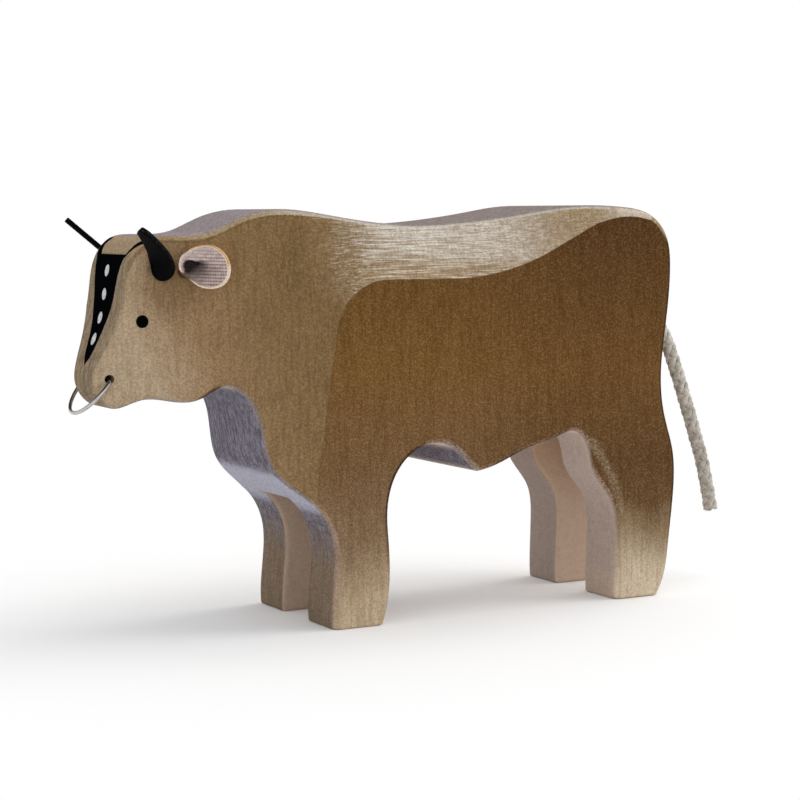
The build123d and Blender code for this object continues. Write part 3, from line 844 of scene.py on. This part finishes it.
def earMaterial(e):
    p = Paint("natural_leather")
    at = p.place()
    up, far, layer = p.mark()
    w = {**p.named(e, at), "up": up, "far": far, "layer": layer}
    w["rows"] = p.wave((up + (far * e["lineTilt"])) * (-2 * math.pi / e["lineGap"]))
    w["pits"] = p.wave((far * (2 * math.pi / e["dotGap"])) + (w["soft"] * e["dotWander"]))
    for name, zones in e["masks"].items():
        w[name] = p.mask(w, 1.0, zones)
    pattern = w["inRow"] * w["pitted"] * (1.0 - (w["right"] * w["apart"] * e["dotsCut"]))
    pattern = pattern * (1.0 - (w["upper"] * e["upperFade"]))
    w["pattern"] = pattern * (e["leftShare"] + (w["right"] * (1 - e["leftShare"])))
    # painted shade in the hollow: crisp under the curl, and fading towards the wide end
    pf, pu = far - e["pit"][0], up - e["pit"][1]
    pf = (pf & 0.0) + ((pf | 0.0) * e["pitLong"])
    reach = ((pf * pf) + (pu * pu)) ** 0.5
    wayF, wayU = e["pitWay"]
    opened = p.step(((pf * wayF) + (pu * wayU)) / (reach | 0.05), *e["pitFan"])
    w["shade"] = p.step(reach / (e["pitRadius"] + (opened * e["pitOpen"])), e["shadeEdge"],
                        (1.0 - opened) * e["shadeSoft"])
    w["wobble"] = layer + ((w["fine"] - 0.5) * e["edgeWobble"])
    w["upEdge"] = up + (far * e["edgeSlant"])
    return p.surface(colour=p.layered(w, e["surfaces"]), normal=p.relief(w, *e["relief"]), **e["finish"])


naturalLeather = earMaterial(ear)
for name, side in (("left_ear", -1), ("right_ear", 1)):
    dress(makeEar(name + "_leather", side, ear), "bull", "natural_leather", naturalLeather, name)
print("ears made")


# Nose ring: the CAD wire has the right form, and gets a drawn-steel finish

wire = {"tones": {"bright": tone(196, 192, 188), "dull": tone(124, 121, 122)},
        "grains": {"fine": (even, 9.0, 3.0, 0.5), "smears": (even, 1.1, 3.0, 0.5)},
        "surfaces": {"steel": ("bright", [("dull", 0.5, ("smears", 0.45, 0.75))])},
        "rough": (0.13, 0.12), "metal": 1.0, "relief": ({"fine": 1.0}, 0.08, 0.00005)}


def wireMaterial(r):
    p = Paint("drawn_wire")
    w = p.named(r, p.place())
    low, more = r["rough"]
    return p.surface(colour=p.layered(w, r["surfaces"]), metal=r["metal"],
                     rough=low + (w["smears"] * more), normal=p.relief(w, *r["relief"]))


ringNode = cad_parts["nose_ring"]
ringNode.data.materials.clear()
ringNode.data.materials.append(wireMaterial(wire))
print("ring finished")


# Floor, backdrop and light

studio = {"floor": 1.6, "floorTone": 0.88, "near": 50, "far": 145, "lift": 0.05, "world": 0.87,
          "ceiling": 0.04, "ceilingRun": (0.12, 0.5),
          "lamps": [("fromRight", (0.42, -0.04, 0.60), (0.0, 0.0, 0.03), 0.5, 2.6)]}


def seenDirectly(p):  # 1 for rays from the camera and for mirror and glass rays
    path = p.node("ShaderNodeLightPath", {}, {})
    outputs = path.socket.node.outputs
    camera, glossy, through = (Sock(p, outputs[k])
                               for k in ("Is Camera Ray", "Is Glossy Ray", "Is Transmission Ray"))
    return camera, glossy | through


def makeStudio(s):
    size = s["floor"]
    mesh = bpy.data.meshes.new("floor")
    corners = [(-size, -size, 0), (size, -size, 0), (size, size, 0), (-size, size, 0)]
    mesh.from_pydata(corners, [], [(0, 1, 2, 3)])
    floor = bpy.data.objects.new("floor", mesh)
    scene.collection.objects.link(floor)
    p = Paint("paper")
    camera, mirrored = seenDirectly(p)
    matte = p.node("ShaderNodeBsdfDiffuse", {}, {"Color": (s["floorTone"],) * 3})
    white = p.node("ShaderNodeEmission", {}, {"Color": (1.0, 1.0, 1.0), "Strength": 1.0})
    reach = p.step(p.distance(p.place(), (0.0, 0.0, 0.0)), s["near"], s["far"])
    share = (camera | mirrored) * (s["lift"] + (reach * (1 - s["lift"])))
    both = p.node("ShaderNodeMixShader", {}, {0: share, 1: matte, 2: white})
    p.node("ShaderNodeOutputMaterial", {}, {"Surface": both})
    mesh.materials.append(p.material)
    scene.world = bpy.data.worlds.new("studio")
    scene.world.use_nodes = True
    p = Paint("studio", scene.world.node_tree)
    camera, mirrored = seenDirectly(p)
    height = p.split(p.node("ShaderNodeTexCoord", {}, {}, "Generated"))[2]
    # dark above the backdrop
    ceiling = p.mix(p.step(height, *s["ceilingRun"]), (1.0, 1.0, 1.0), (s["ceiling"],) * 3)
    plain = p.node("ShaderNodeBackground", {}, {0: (1.0, 1.0, 1.0), 1: s["world"]})
    seen = p.node("ShaderNodeBackground", {}, {0: (1.0, 1.0, 1.0), 1: 1.0})
    room = p.node("ShaderNodeBackground", {}, {0: ceiling, 1: 1.0})
    both = p.node("ShaderNodeMixShader", {}, {0: mirrored, 1: plain, 2: room})
    both = p.node("ShaderNodeMixShader", {}, {0: camera, 1: both, 2: seen})
    p.node("ShaderNodeOutputWorld", {}, {"Surface": both})
    for name, place, aim, width, power in s["lamps"]:
        data = bpy.data.lights.new(name, "AREA")
        data.size, data.energy = width, power
        lamp = bpy.data.objects.new(name, data)
        lamp.location = place
        lamp.rotation_euler = (Vector(aim) - Vector(place)).to_track_quat("-Z", "Y").to_euler()
        scene.collection.objects.link(lamp)


makeStudio(studio)
scene.view_settings.view_transform = "Standard"
print("studio lit")
